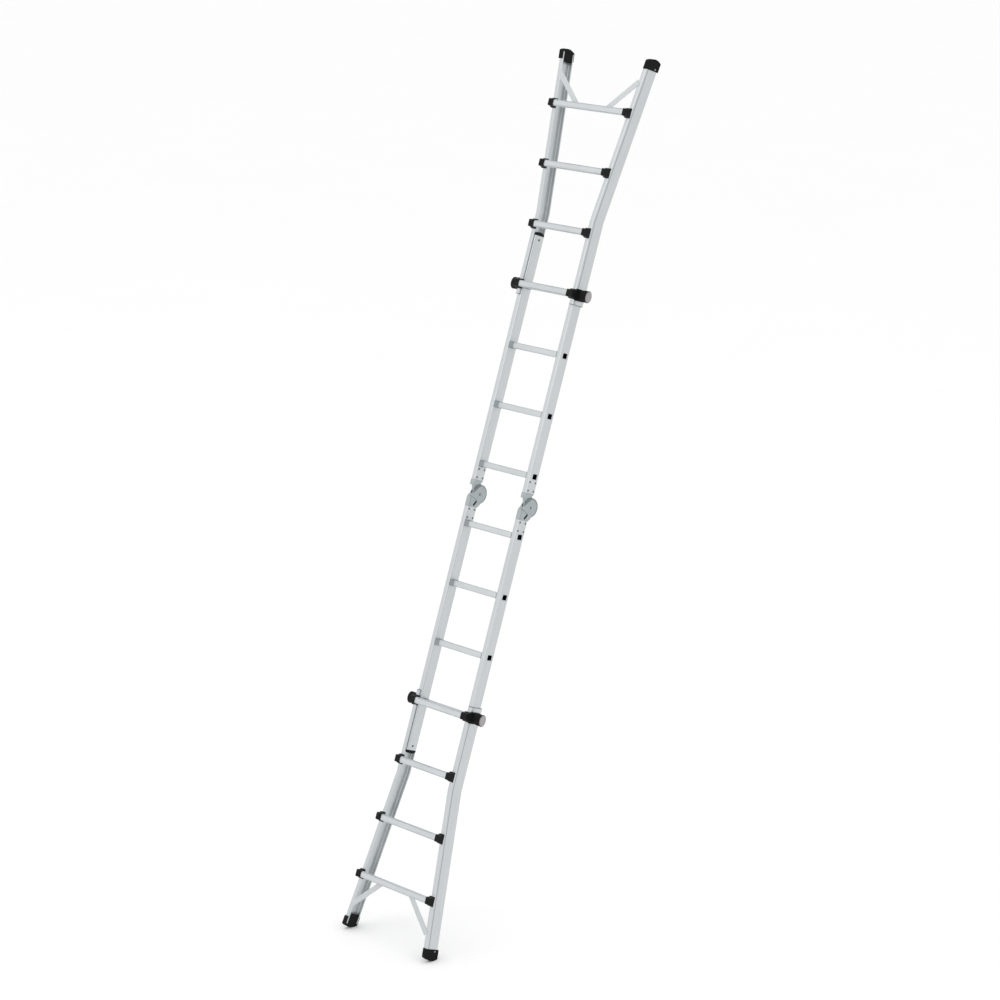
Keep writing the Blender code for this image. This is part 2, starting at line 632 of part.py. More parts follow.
def stand_on_floor():
    """Puts the middle of the leaning ladder's footprint box over the origin."""
    bpy.context.view_layer.update()
    corners = [piece.matrix_world @ vert.co for piece in parts.objects
               if piece.type == "MESH" for vert in piece.data.vertices]
    low = Vector([min(c[i] for c in corners) for i in range(3)])
    high = Vector([max(c[i] for c in corners) for i in range(3)])
    lean.location = (-(low.x + high.x) / 2, -(low.y + high.y) / 2, -low.z)
    bpy.context.view_layer.update()


stand_on_floor()
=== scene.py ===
"""Looks of the multi position ladder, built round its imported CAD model.

Pieces are drawn once in the ladder's own frame, for the right stile of the upper half
(x across, y from the climbing side to the back, z along the stiles, hinge axis at z = 0),
then mirrored to the other stiles and leaned back with the CAD.
"""
import math

import bmesh
import bpy
from mathutils import Matrix, Vector


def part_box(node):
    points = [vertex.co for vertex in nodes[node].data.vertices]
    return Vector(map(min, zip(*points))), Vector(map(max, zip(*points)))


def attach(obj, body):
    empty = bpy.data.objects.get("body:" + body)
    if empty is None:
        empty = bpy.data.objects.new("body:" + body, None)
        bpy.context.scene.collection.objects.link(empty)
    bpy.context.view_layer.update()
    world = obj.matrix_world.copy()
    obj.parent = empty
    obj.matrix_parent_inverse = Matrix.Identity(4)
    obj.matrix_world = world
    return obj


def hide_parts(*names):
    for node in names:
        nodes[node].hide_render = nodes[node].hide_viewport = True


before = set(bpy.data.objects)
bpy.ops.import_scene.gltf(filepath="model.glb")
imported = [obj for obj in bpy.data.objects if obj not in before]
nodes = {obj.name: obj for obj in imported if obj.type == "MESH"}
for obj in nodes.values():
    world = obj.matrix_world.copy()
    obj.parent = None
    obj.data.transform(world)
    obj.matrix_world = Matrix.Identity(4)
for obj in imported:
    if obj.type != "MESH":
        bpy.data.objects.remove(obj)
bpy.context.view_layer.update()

# ---- the ladder's own frame ------------------------------------------------------------
LEAN_ANGLE = math.radians(19.5)
PIVOT = Vector((0.0, 0.026, 0.0))
pin_low, pin_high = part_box("hinge_pin_right")
LEAN_TURN = Matrix.Rotation(-LEAN_ANGLE, 4, "X")
pin_centre = (pin_low + pin_high) / 2
shift = pin_centre - LEAN_TURN @ PIVOT
shift.x = 0.0
LEAN = Matrix.Translation(shift) @ LEAN_TURN

RUNG_PITCH = 0.280
GAP = 0.0003
INNER_OUTBOARD, INNER_INBOARD = 0.1805, 0.1545
INNER_FRONT, INNER_BACK = -0.031, 0.025
INNER_START, INNER_END = 0.0633, 1.2115
OUTER_OUTBOARD, OUTER_INBOARD = 0.1855, 0.1625
OUTER_FRONT, OUTER_BACK = -0.038, 0.032
OUTER_START, OUTER_END = 0.932, 2.062
BEND_AT, FLARE = 1.320, 0.1314
INNER_RUNG_SIZE = (0.030, 0.028)
OUTER_RUNG_SIZE = (0.024, 0.030)
OUTER_RUNG_Y = -0.052
KNOB_Y = -0.008
KNOB_RADII = (0.0205, 0.0275)
KNOB_START, KNOB_END = 0.2150, 0.2435
NECK_RADII, NECK_END = (0.0185, 0.0255), 0.2175
FOOT_START, FOOT_SIDE, FOOT_TIP = 2.028, 2.068, 2.080
CHEEK_RADIUS, CHEEK_THICKNESS, CHEEK_RECESS = 0.045, 0.0055, 0.0025
TONGUE_RADIUS, PIN_RADIUS = 0.032, 0.007
FACET_REACH, FACET_SLOPE = 0.031, 0.26
CHEEK_OUT = INNER_OUTBOARD - CHEEK_RECESS
CHEEK_IN = INNER_INBOARD + CHEEK_RECESS
TONGUE_OUT = CHEEK_OUT - CHEEK_THICKNESS - GAP
TONGUE_IN = CHEEK_IN + CHEEK_THICKNESS + GAP
COLLAR_LENGTH, COLLAR_GROWTH = 0.014, 0.0005
COLLAR_FRONT, COLLAR_BACK = -0.0305, 0.0245
RIVET_ROWS, RIVET_COLUMNS = (0.0741, 0.1132), (-0.0206, 0.0145)
SLOT_TOP, SLOT_BOTTOM, SLOT_WIDTH = (0.0120, -0.0345), (0.0010, -0.0525), 0.0090

# Details of the looks, finer than the CAD model's.
WEB_GROOVE_AHEAD, WEB_GROOVE_HALF = 0.0275, 0.0031  # ahead of the ladder's plane, half width
WEB_SKIN = 0.1835                   # the channel's web lies outboard of this
# Painted shade on the outer channel: the band's depth at its inner end, then the tones of the
# groove's and the end's shade.
SHADED_END_DEPTH = 0.0026
GROOVE_SHADE_TONE, END_SHADE_TONE = 0.74, 0.42
RIB_PITCH, RIB_DEPTH = 0.0016, 0.0005
RUNG_WALL, INNER_RUNG_RADIUS, OUTER_RUNG_RADIUS = 0.002, 0.004, 0.006
OUTER_RUNG_SETBACK = 0.0038         # each rung end's distance inside its stile's outer face
SOCKET_DEPTH, MOULDED_EDGE = 0.030, 0.0009
KNOB_CLEARANCE, KNOB_FLOOR, BOLT_SETBACK = 0.0006, 0.0036, 0.0034
CHAMFER_WIDTH, CHAMFER_DEPTH = 0.0078, 0.0011       # of the round side plates' rims
CHAMFER_STOP = 126                  # degrees round the side plate where its chamfer runs out
BLOCK_CORNER = 0.0032
POCKET_DEPTH, BROW_DEPTH = 0.0022, 0.0012
# The pin's oblong recesses, and the black slabs of painted shade set in them.
RECESS_HALF, RECESS_RADIUS, RECESS_SHADE_RADIUS, RECESS_SHADE_DEPTH = 0.0036, 0.0023, 0.00225, 0.0014
HINGE_RIVET = (0.0053, 0.0005)      # radius and height of a rivet's head
PLUG_RIVET = (0.0052, 0.0008)
FOOT_RIVET = (0.004, 0.0016)
SMOOTH_ANGLE, EDGE_ANGLE = 38, 32


def stile_shift(height):
    return FLARE * max(0.0, height - BEND_AT)


def rung_height(step):
    return (step + 0.5) * RUNG_PITCH


# ---- materials ---------------------------------------------------------------------------
class Nodes:
    """A material's node tree, with short calls for the nodes used here."""

    def __init__(self, name):
        self.material = bpy.data.materials.new(name)
        self.material.use_nodes = True
        self.tree = self.material.node_tree
        self.shader = self.tree.nodes["Principled BSDF"]
        place = self.tree.nodes.new("ShaderNodeTexCoord").outputs["Object"]
        turn = self.tree.nodes.new("ShaderNodeMapping")
        turn.vector_type = "POINT"
        turn.inputs["Rotation"].default_value = (LEAN_ANGLE, 0.0, 0.0)
        self.tree.links.new(place, turn.inputs["Vector"])
        self.place = turn.outputs["Vector"]

    def link(self, source, target):
        self.tree.links.new(source, target)

    def math(self, operation, a, b=0.0):
        node = self.tree.nodes.new("ShaderNodeMath")
        node.operation = operation
        for socket, value in zip(node.inputs, (a, b)):
            if isinstance(value, (int, float)):
                socket.default_value = value
            else:
                self.link(value, socket)
        return node.outputs[0]

    def noise(self, scale, stretch=(1.0, 1.0, 1.0), detail=3.0, roughness=0.5):
        mapping = self.tree.nodes.new("ShaderNodeMapping")
        mapping.inputs["Scale"].default_value = stretch
        self.link(self.place, mapping.inputs["Vector"])
        node = self.tree.nodes.new("ShaderNodeTexNoise")
        node.inputs["Scale"].default_value = scale
        node.inputs["Detail"].default_value = detail
        node.inputs["Roughness"].default_value = roughness
        self.link(mapping.outputs["Vector"], node.inputs["Vector"])
        return node.outputs["Fac"]

    def spread(self, value, low, high, start=0.3, stop=0.7):
        node = self.tree.nodes.new("ShaderNodeMapRange")
        for socket, number in zip(node.inputs[1:5], (start, stop, low, high)):
            socket.default_value = number
        self.link(value, node.inputs[0])
        return node.outputs[0]

    def blend(self, factor, colour_a, colour_b):
        node = self.tree.nodes.new("ShaderNodeMix")
        node.data_type = "RGBA"
        self.link(factor, node.inputs[0])
        for socket, colour in ((node.inputs[6], colour_a), (node.inputs[7], colour_b)):
            if isinstance(colour, tuple):
                socket.default_value = (*colour, 1.0)
            else:
                self.link(colour, socket)
        return node.outputs[2]

    def bump(self, height, strength, distance):
        node = self.tree.nodes.new("ShaderNodeBump")
        node.inputs["Strength"].default_value = strength
        node.inputs["Distance"].default_value = distance
        self.link(height, node.inputs["Height"])
        self.link(node.outputs["Normal"], self.shader.inputs["Normal"])

    def finish(self, colour, roughness, metallic, **sockets):
        self.link(colour, self.shader.inputs["Base Color"])
        self.link(roughness, self.shader.inputs["Roughness"])
        self.shader.inputs["Metallic"].default_value = metallic
        for name, value in sockets.items():
            self.shader.inputs[name.replace("_", " ")].default_value = value
        return self.material


def extruded_aluminium(name, along, dark, light, groove=False):
    """Satin extrusion: fine draw lines along one axis, faint handling marks across them.

    groove paints shade into the outer channel's web groove and along a band at its inner end,
    where its edge steps down onto the inner stile.
    """
    n = Nodes(name)
    across = {"z": (1.0, 1.0, 0.012), "x": (0.012, 1.0, 1.0)}[along]
    lines = n.noise(900.0, across, 4.0, 0.6)
    bands = n.noise(90.0, across, 2.0, 0.5)
    cloud = n.noise(9.0, (1.0, 1.0, 0.6), 4.0, 0.55)
    tone = n.math("ADD", n.math("MULTIPLY", lines, 0.35),
                  n.math("ADD", n.math("MULTIPLY", bands, 0.3), n.math("MULTIPLY", cloud, 0.35)))
    colour = n.blend(n.spread(tone, 0.0, 1.0, 0.35, 0.65), dark, light)
    # Painted shade: the web groove and the band at the inner end are darkened.
    if groove:
        split = n.tree.nodes.new("ShaderNodeSeparateXYZ")
        n.link(n.place, split.inputs[0])
        height = n.math("SUBTRACT", split.outputs[2], LADDER_ORIGIN.z)
        flare = n.math("MULTIPLY", n.math("MAXIMUM", n.math("SUBTRACT", n.math(
            "ABSOLUTE", height), BEND_AT), 0.0), FLARE)
        outboard = n.math("SUBTRACT", n.math("ABSOLUTE", split.outputs[0]), flare)
        depth = n.math("ABSOLUTE", n.math("SUBTRACT", split.outputs[1],
                                          LADDER_ORIGIN.y - WEB_GROOVE_AHEAD))
        inside = n.math("MULTIPLY", n.math("LESS_THAN", depth, WEB_GROOVE_HALF),
                        n.math("GREATER_THAN", outboard, WEB_SKIN))
        colour = n.blend(inside, colour, tuple(c * GROOVE_SHADE_TONE for c in dark))
        end_shade = n.math("LESS_THAN", n.math("ABSOLUTE", height), OUTER_START + SHADED_END_DEPTH)
        colour = n.blend(end_shade, colour, tuple(c * END_SHADE_TONE for c in dark))
    rough = n.spread(n.math("ADD", n.math("MULTIPLY", lines, 0.6),
                            n.math("MULTIPLY", cloud, 0.4)), 0.34, 0.46)
    n.bump(lines, 0.12, 0.0002)
    return n.finish(colour, rough, 0.94)


def cast_aluminium(name, dark, light):
    """Grey die casting: fine even grain with a slight mottle."""
    n = Nodes(name)
    grain = n.noise(1400.0, detail=2.0)
    mottle = n.noise(55.0, detail=4.0)
    tone = n.math("ADD", n.math("MULTIPLY", grain, 0.4), n.math("MULTIPLY", mottle, 0.6))
    n.bump(grain, 0.25, 0.0003)
    return n.finish(n.blend(n.spread(tone, 0.0, 1.0), dark, light),
                    n.spread(grain, 0.44, 0.60), 0.9, Specular_IOR_Level=0.2)


def moulded(name, dark, light, rough, grain_scale, depth, metallic=0.0, **sockets):
    """Moulded plastic or rubber: spark-eroded grain, uneven gloss."""
    n = Nodes(name)
    grain = n.noise(grain_scale, detail=2.0)
    wear = n.noise(28.0, detail=5.0)
    n.bump(grain, 0.35, depth)
    tone = n.math("ADD", n.math("MULTIPLY", grain, 0.35), n.math("MULTIPLY", wear, 0.65))
    return n.finish(n.blend(n.spread(tone, 0.0, 1.0), dark, light),
                    n.spread(wear, rough - 0.07, rough + 0.07), metallic, **sockets)


UPRIGHT = Matrix.Rotation(LEAN_ANGLE, 4, "X")
LADDER_ORIGIN = UPRIGHT @ LEAN.translation     # the ladder's origin as materials see it

STILE = extruded_aluminium("stile_satin", "z", (0.55, 0.58, 0.59), (0.62, 0.645, 0.655))
CHANNEL = extruded_aluminium("channel_satin", "z", (0.55, 0.58, 0.59), (0.62, 0.645, 0.655),
                             groove=True)
RUNG = extruded_aluminium("rung_satin", "x", (0.57, 0.60, 0.61), (0.64, 0.665, 0.675))
FERRULE = extruded_aluminium("ferrule_grey", "x", (0.27, 0.30, 0.32), (0.33, 0.36, 0.38))
CASTING = cast_aluminium("hinge_cast", (0.40, 0.44, 0.45), (0.45, 0.49, 0.50))
# Painted shade for the hinge castings: a lighter one for the side plates' chamfered rims, a deeper
# one for facets, grooves, pocket and slot.
CASTING_RIM_SHADE = cast_aluminium("hinge_cast_rim_painted_shade", (0.26, 0.295, 0.305), (0.32, 0.355, 0.365))
CASTING_SHADE = cast_aluminium("hinge_cast_painted_shade", (0.19, 0.215, 0.225), (0.25, 0.275, 0.285))
# Painted shade for the collars' top and bottom faces.
FERRULE_SHADE = extruded_aluminium("ferrule_painted_shade", "x", (0.17, 0.19, 0.20), (0.22, 0.24, 0.25))
RIVET = cast_aluminium("rivet_grey", (0.21, 0.215, 0.21), (0.27, 0.275, 0.27))
# Painted shade for the rivets' hollow centres and for the plug's punched hole.
RIVET_CENTRE_SHADE = cast_aluminium("rivet_centre_painted_shade", (0.12, 0.12, 0.12), (0.16, 0.16, 0.16))
PLUG_HOLE_SHADE = cast_aluminium("plug_hole_painted_shade", (0.03, 0.03, 0.03), (0.05, 0.05, 0.05))
# Painted shade for the inside of the rung tubes' bores.
BORE_SHADE = cast_aluminium("tube_bore_painted_shade", (0.004, 0.004, 0.004), (0.007, 0.007, 0.007))
PLASTIC = moulded("bracket_plastic", (0.0065, 0.0068, 0.0068), (0.0115, 0.012, 0.012),
                  0.50, 1600.0, 0.0003, Specular_IOR_Level=0.10)
GRIP = moulded("knob_soft_plastic", (0.006, 0.0063, 0.0063), (0.0105, 0.011, 0.011),
               0.58, 2200.0, 0.0003, Specular_IOR_Level=0.09)
DISC = moulded("knob_disc", (0.34, 0.325, 0.33), (0.40, 0.385, 0.39), 0.45, 1500.0, 0.0002,
               Specular_IOR_Level=0.1)
# Painted shade for the end disc's rounded rim.
DISC_RIM_SHADE = moulded("knob_disc_rim_painted_shade", (0.21, 0.205, 0.205), (0.26, 0.255, 0.255), 0.45,
                   1500.0, 0.0002, Specular_IOR_Level=0.1)
RUBBER = moulded("foot_rubber", (0.006, 0.0063, 0.0063), (0.013, 0.013, 0.013), 0.75, 900.0,
                 0.0004, Specular_IOR_Level=0.10)
STEEL = moulded("bolt_steel", (0.42, 0.42, 0.41), (0.55, 0.55, 0.54), 0.34, 2500.0, 0.0001,
                0.95)
DARK = moulded("catch_black", (0.010, 0.010, 0.010), (0.018, 0.018, 0.018), 0.5, 1800.0,
               0.0002, 0.0, Specular_IOR_Level=0.15)


# ---- mesh helpers --------------------------------------------------------------------------
def arc(centre, radius, start, stop, count):
    angles = [math.radians(start + (stop - start) * i / count) for i in range(count + 1)]
    return [(centre[0] + radius * math.cos(a), centre[1] + radius * math.sin(a))
            for a in angles]


def rounded(low, high, radius, segments=6):
    corners = ((high[0] - radius, high[1] - radius, 0), (low[0] + radius, high[1] - radius, 90),
               (low[0] + radius, low[1] + radius, 180), (high[0] - radius, low[1] + radius, 270))
    return [point for x, y, turn in corners
            for point in arc((x, y), radius, turn, turn + 90, segments)]


def oval(centre, radii, count=48):
    return [(centre[0] + radii[0] * math.cos(2 * math.pi * i / count),
             centre[1] + radii[1] * math.sin(2 * math.pi * i / count)) for i in range(count)]


def to_mesh(bm, name="shape"):
    bmesh.ops.recalc_face_normals(bm, faces=bm.faces)
    mesh = bpy.data.meshes.new(name)
    bm.to_mesh(mesh)
    bm.free()
    return mesh


def loft(rings):
    """Skin through rings of equal length, capped at both ends."""
    bm = bmesh.new()
    loops = [[bm.verts.new(point) for point in ring] for ring in rings]
    count = len(loops[0])
    for a, b in zip(loops, loops[1:]):
        for i in range(count):
            bm.faces.new((a[i], a[(i + 1) % count], b[(i + 1) % count], b[i]))
    bm.faces.new(loops[0][::-1])
    bm.faces.new(loops[-1])
    return to_mesh(bm)


def slab(outline, low, high, soft=0.0, edge_segments=2):
    """Solid along x between low and high, with rounded rims when soft is given."""
    mesh = loft([[(x, y, z) for y, z in outline] for x in (low, high)])
    if not soft:
        return mesh
    bm = bmesh.new()
    bm.from_mesh(mesh)
    rims = [edge for edge in bm.edges
            if abs(edge.verts[0].co.x - edge.verts[1].co.x) < 1e-7]
    bmesh.ops.bevel(bm, geom=rims, offset=soft, segments=edge_segments, profile=0.5,
                    affect="EDGES", clamp_overlap=True)
    return to_mesh(bm)


def brick(low, high):
    (x0, y0, z0), (x1, y1, z1) = low, high
    return slab([(y0, z0), (y1, z0), (y1, z1), (y0, z1)], x0, x1)


def paint(mesh, test, index):
    """Gives the faces that pass the test another of the piece's materials."""
    for face in mesh.polygons:
        if test(face):
            face.material_index = index
    return mesh


def ribbed(outline, middle, flat):
    """Ribs a rung's outline above and below: either face is the tread, as the halves fold."""
    count = len(outline)
    lengths = [math.dist(outline[i], outline[(i + 1) % count]) for i in range(count)]
    points = []
    for i, (start, length) in enumerate(zip(outline, lengths)):
        stop = outline[(i + 1) % count]
        above, below = (min(start[1], stop[1]) - middle, middle - max(start[1], stop[1]))
        if max(above, below) < flat:
            points.append(start)
            continue
        ribs = max(1, round(length / RIB_PITCH))
        inward = ((start[1] - stop[1]) / length * RIB_DEPTH,
                  (stop[0] - start[0]) / length * RIB_DEPTH)
        for rib in range(ribs):
            for part, sunk in ((0.0, 0), (0.5, 0), (0.6, 1), (0.9, 1)):
                reach = (rib + part) / ribs
                points.append((start[0] + (stop[0] - start[0]) * reach + inward[0] * sunk,
                               start[1] + (stop[1] - start[1]) * reach + inward[1] * sunk))
    return points


def tube(half_length, y, z, size, radius, wall=RUNG_WALL):
    """Open rung tube along x, ribbed above and below, with painted shade in its bore."""
    depth, height = size[0] / 2, size[1] / 2
    skin = ribbed(rounded((y - depth, z - height), (y + depth, z + height), radius, 3),
                  z, height - radius - 0.0001)
    bore = rounded((y - depth + wall, z - height + wall), (y + depth - wall, z + height - wall),
                   radius - wall * 0.6)
    bar = combine(slab(skin, -half_length, half_length), "DIFFERENCE",
                  slab(bore, -half_length - 0.01, half_length + 0.01))
    reach = (depth - wall * 1.5, height - wall * 1.5)

    def in_bore(face):
        return (abs(face.normal.x) < 0.5 and abs(face.center.y - y) < reach[0] + wall
                and abs(face.center.z - z) < reach[1] + wall
                and face.normal.y * (face.center.y - y) + face.normal.z * (face.center.z - z)
                < 0.0)

    return paint(bar, in_bore, 1)


def combine(base, operation, *others):
    """Boolean of meshes, returned as a new mesh."""
    target = bpy.data.objects.new("target", base)
    bpy.context.scene.collection.objects.link(target)
    helpers = []
    for other in others:
        helper = bpy.data.objects.new("helper", other)
        bpy.context.scene.collection.objects.link(helper)
        helpers.append(helper)
        modifier = target.modifiers.new("join", "BOOLEAN")
        modifier.solver = "EXACT"
        modifier.operation = operation
        modifier.object = helper
    depsgraph = bpy.context.evaluated_depsgraph_get()
    result = bpy.data.meshes.new_from_object(target.evaluated_get(depsgraph))
    for used in (target, *helpers):
        bpy.data.objects.remove(used)
    bm = bmesh.new()
    bm.from_mesh(result)
    bmesh.ops.remove_doubles(bm, verts=bm.verts, dist=5e-6)
    return to_mesh(bm)


def flared(mesh):
    for vert in mesh.vertices:
        vert.co.x += stile_shift(vert.co.z)
    return mesh


def softened(piece, width, segments=3):
    """Rounds a piece's hard edges, as a mould or a tumbled casting leaves them."""
    bevel = piece.modifiers.new("edges", "BEVEL")
    bevel.width = width
    bevel.segments = segments
    bevel.limit_method = "ANGLE"
    bevel.angle_limit = math.radians(EDGE_ANGLE)
    bevel.harden_normals = True
    return piece


def add_piece(name, mesh, material, body, side="right", half="upper", replaces=(),
              edge=0.0):
    """One piece on its stile: mirrored, leaned back, ridden on its body."""
    copy = mesh.copy()
    across, along = side == "left", half == "lower"
    copy.transform(Matrix.Diagonal((-1 if across else 1, 1, -1 if along else 1, 1)))
    if across != along:
        copy.flip_normals()
    copy.transform(LEAN)
    painted = [face.material_index for face in copy.polygons]
    copy.materials.clear()
    for finish in material if isinstance(material, tuple) else (material,):
        copy.materials.append(finish)
    copy.polygons.foreach_set("material_index", painted)
    copy.shade_smooth()
    copy.set_sharp_from_angle(angle=math.radians(SMOOTH_ANGLE))
    piece = bpy.data.objects.new(name, copy)
    bpy.context.scene.collection.objects.link(piece)
    if edge:
        softened(piece, edge)
    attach(piece, body)
    if replaces:
        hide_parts(*replaces)
    return piece


def on_every_stile(label, mesh, material, section, replaced="", edge=0.0):
    """A piece of the right upper stile and its three mirror images.

    section ends the body's name: inner, outer or lock, where lock bodies are one per side.
    """
    for half in ("lower", "upper"):
        for side in ("left", "right"):
            body = f"{half}_lock_{side}" if section == "lock" else f"{half}_{section}"
            node = (f"{half}_{replaced}_{side}",) if replaced else ()
            add_piece(f"{half}_{label}_{side}", mesh, material, body, side, half, node,
                      edge)


# ---- carried-over CAD pieces -------------------------------------------------------------
def dress(pattern, material, edge=0.0):
    for name, node in nodes.items():
        if pattern in name:
            node.data.materials.clear()
            node.data.materials.append(material)
            if edge:
                softened(node, edge, 2)


dress("inner_stile", STILE)
dress("outer_stile", CHANNEL)
dress("hinge_catch", DARK, 0.0006)


# ---- rungs -------------------------------------------------------------------------------
def collar(z):
    """Ferrule that narrows from the stile's whole inboard face down to the rung, in a darker grey
    than the rung, with painted shade on its top and bottom faces.
    """
    depth, height = (size / 2 + COLLAR_GROWTH for size in INNER_RUNG_SIZE)
    shoulder = INNER_INBOARD - GAP
    wide = rounded((COLLAR_FRONT, z - height), (COLLAR_BACK, z + height), INNER_RUNG_RADIUS)
    narrow = rounded((-depth, z - height), (depth, z + height), INNER_RUNG_RADIUS)
    mesh = loft([[(shoulder - COLLAR_LENGTH, y, up) for y, up in narrow],
                 [(shoulder, y, up) for y, up in wide]])
    # Painted shade on the faces turned up and down.
    return paint(mesh, lambda face: abs(face.normal.z) > 0.3, 1)


def build_rungs():
    end = INNER_OUTBOARD - GAP
    for half in ("lower", "upper"):
        for step in range(4):
            z = rung_height(step)
            bar = tube(end, 0.0, z, INNER_RUNG_SIZE, INNER_RUNG_RADIUS)
            add_piece(f"{half}_inner_rung_tube_{step + 1}", bar, (RUNG, BORE_SHADE), f"{half}_inner",
                      half=half,
                      replaces=(f"{half}_inner_rung_{step + 1}",))
            for side in ("left", "right"):
                add_piece(f"{half}_rung_collar_{step + 1}_{side}", collar(z),
                          (FERRULE, FERRULE_SHADE), f"{half}_inner", side,
                          half, edge=0.0004)
        for step in range(3, 7):
            z = rung_height(step)
            reach = OUTER_OUTBOARD + stile_shift(z) - OUTER_RUNG_SETBACK
            bar = tube(reach, OUTER_RUNG_Y, z, OUTER_RUNG_SIZE, OUTER_RUNG_RADIUS)
            add_piece(f"{half}_outer_rung_tube_{step - 2}", bar, (RUNG, BORE_SHADE), f"{half}_outer",
                      half=half,
                      replaces=(f"{half}_outer_rung_{step - 2}",))


# ---- brackets and locks --------------------------------------------------------------------
def socket_outline(z):
    face = OUTER_FRONT - GAP
    nose = OUTER_RUNG_Y - OUTER_RUNG_SIZE[0] / 2 - 0.003
    half = [(nose, 0.0115), (nose + 0.0012, 0.0150), (nose + 0.0040, 0.0168),
            (face - 0.0125, 0.0176), (face - 0.0100, 0.0185), (face - 0.0080, 0.0205),
            (face - 0.0062, 0.0222), (face - 0.0040, 0.0229), (face, 0.0230)]
    return [(y, z + h) for y, h in half] + [(y, z - h) for y, h in reversed(half)]


def pocket(z, outboard):
    depth, height = (size / 2 + GAP for size in OUTER_RUNG_SIZE)
    outline = rounded((OUTER_RUNG_Y - depth, z - height), (OUTER_RUNG_Y + depth, z + height),
                      0.0063)
    return slab(outline, outboard - 0.08, outboard - 0.0035)


def build_brackets():
    for step in (4, 5, 6):
        z = rung_height(step)
        outboard = OUTER_OUTBOARD + stile_shift(z)
        socket = slab(socket_outline(z), outboard - SOCKET_DEPTH, outboard)
        on_every_stile(f"rung_socket_{step - 2}", combine(socket, "DIFFERENCE",
                                                          pocket(z, outboard)),
                       PLASTIC, "outer", f"bracket_{step - 2}", MOULDED_EDGE)


def build_locks():
    z = rung_height(3)
    web = OUTER_OUTBOARD + GAP
    pad_face = web + 0.006
    socket = slab(socket_outline(z), OUTER_OUTBOARD - SOCKET_DEPTH, OUTER_OUTBOARD + 0.0001)
    wrap = slab(socket_outline(z), OUTER_OUTBOARD - 0.001, pad_face)
    pad = slab(rounded((OUTER_FRONT - 0.004, z - 0.0265), (0.019, z + 0.0265), 0.006), web,
               pad_face - 0.0005)
    neck = slab(oval((KNOB_Y, z), NECK_RADII), web + 0.001, NECK_END)
    bore = slab(oval((0.0, z), (0.0055, 0.0055), 24), web - 0.01, NECK_END + 0.01)
    housing = combine(combine(socket, "UNION", wrap, pad, neck), "DIFFERENCE",
                      pocket(z, OUTER_OUTBOARD), bore)
    on_every_stile("lock_body", housing, PLASTIC, "outer", "lock_housing",
                   MOULDED_EDGE)
    # Grip: oval cup with a rolled skirt, a faint waist and a rim round its end disc.
    profile = [(KNOB_START, 0.0022), (KNOB_START + 0.0004, 0.0010), (KNOB_START + 0.0014, 0.0),
               (KNOB_START + 0.0050, 0.0003), (KNOB_START + 0.0110, 0.0008),
               (KNOB_START + 0.0180, 0.0005), (KNOB_END - 0.0050, 0.0),
               (KNOB_END - 0.0030, 0.0), (KNOB_END - 0.0024, 0.0004),
               (KNOB_END - 0.0022, 0.0010)]

    def rings(stations):
        return [[(x, y, up) for y, up in oval((KNOB_Y, z), (KNOB_RADII[0] - cut,
                                                           KNOB_RADII[1] - cut), 56)]
                for x, cut in stations]

    # The cup is hollow behind, over the neck.
    hollow = slab(oval((KNOB_Y, z), (NECK_RADII[0] + KNOB_CLEARANCE,
                                     NECK_RADII[1] + KNOB_CLEARANCE), 56),
                  KNOB_START - 0.01, KNOB_END - KNOB_FLOOR)
    on_every_stile("knob_grip", combine(loft(rings(profile)), "DIFFERENCE", hollow), GRIP,
                   "lock", "lock_knob")
    disc = loft(rings([(KNOB_END - 0.0030, 0.0012), (KNOB_END - 0.0020, 0.0008),
                       (KNOB_END - 0.0014, 0.0010), (KNOB_END - 0.0003, 0.0030),
                       (KNOB_END, 0.0036), (KNOB_END - 0.0002, 0.0042),
                       (KNOB_END - 0.0002, 0.0110)]))
    # The disc's rim faces, turned away from the end, get painted shade.
    paint(disc, lambda face: abs(face.normal.x) < 0.95, 1)
    on_every_stile("knob_disc", disc, (DISC, DISC_RIM_SHADE), "lock")
    bolt = slab(oval((0.0, z), (0.005, 0.005), 24), 0.1818, KNOB_END - BOLT_SETBACK, 0.0008)
    on_every_stile("lock_bolt", bolt, STEEL, "lock")


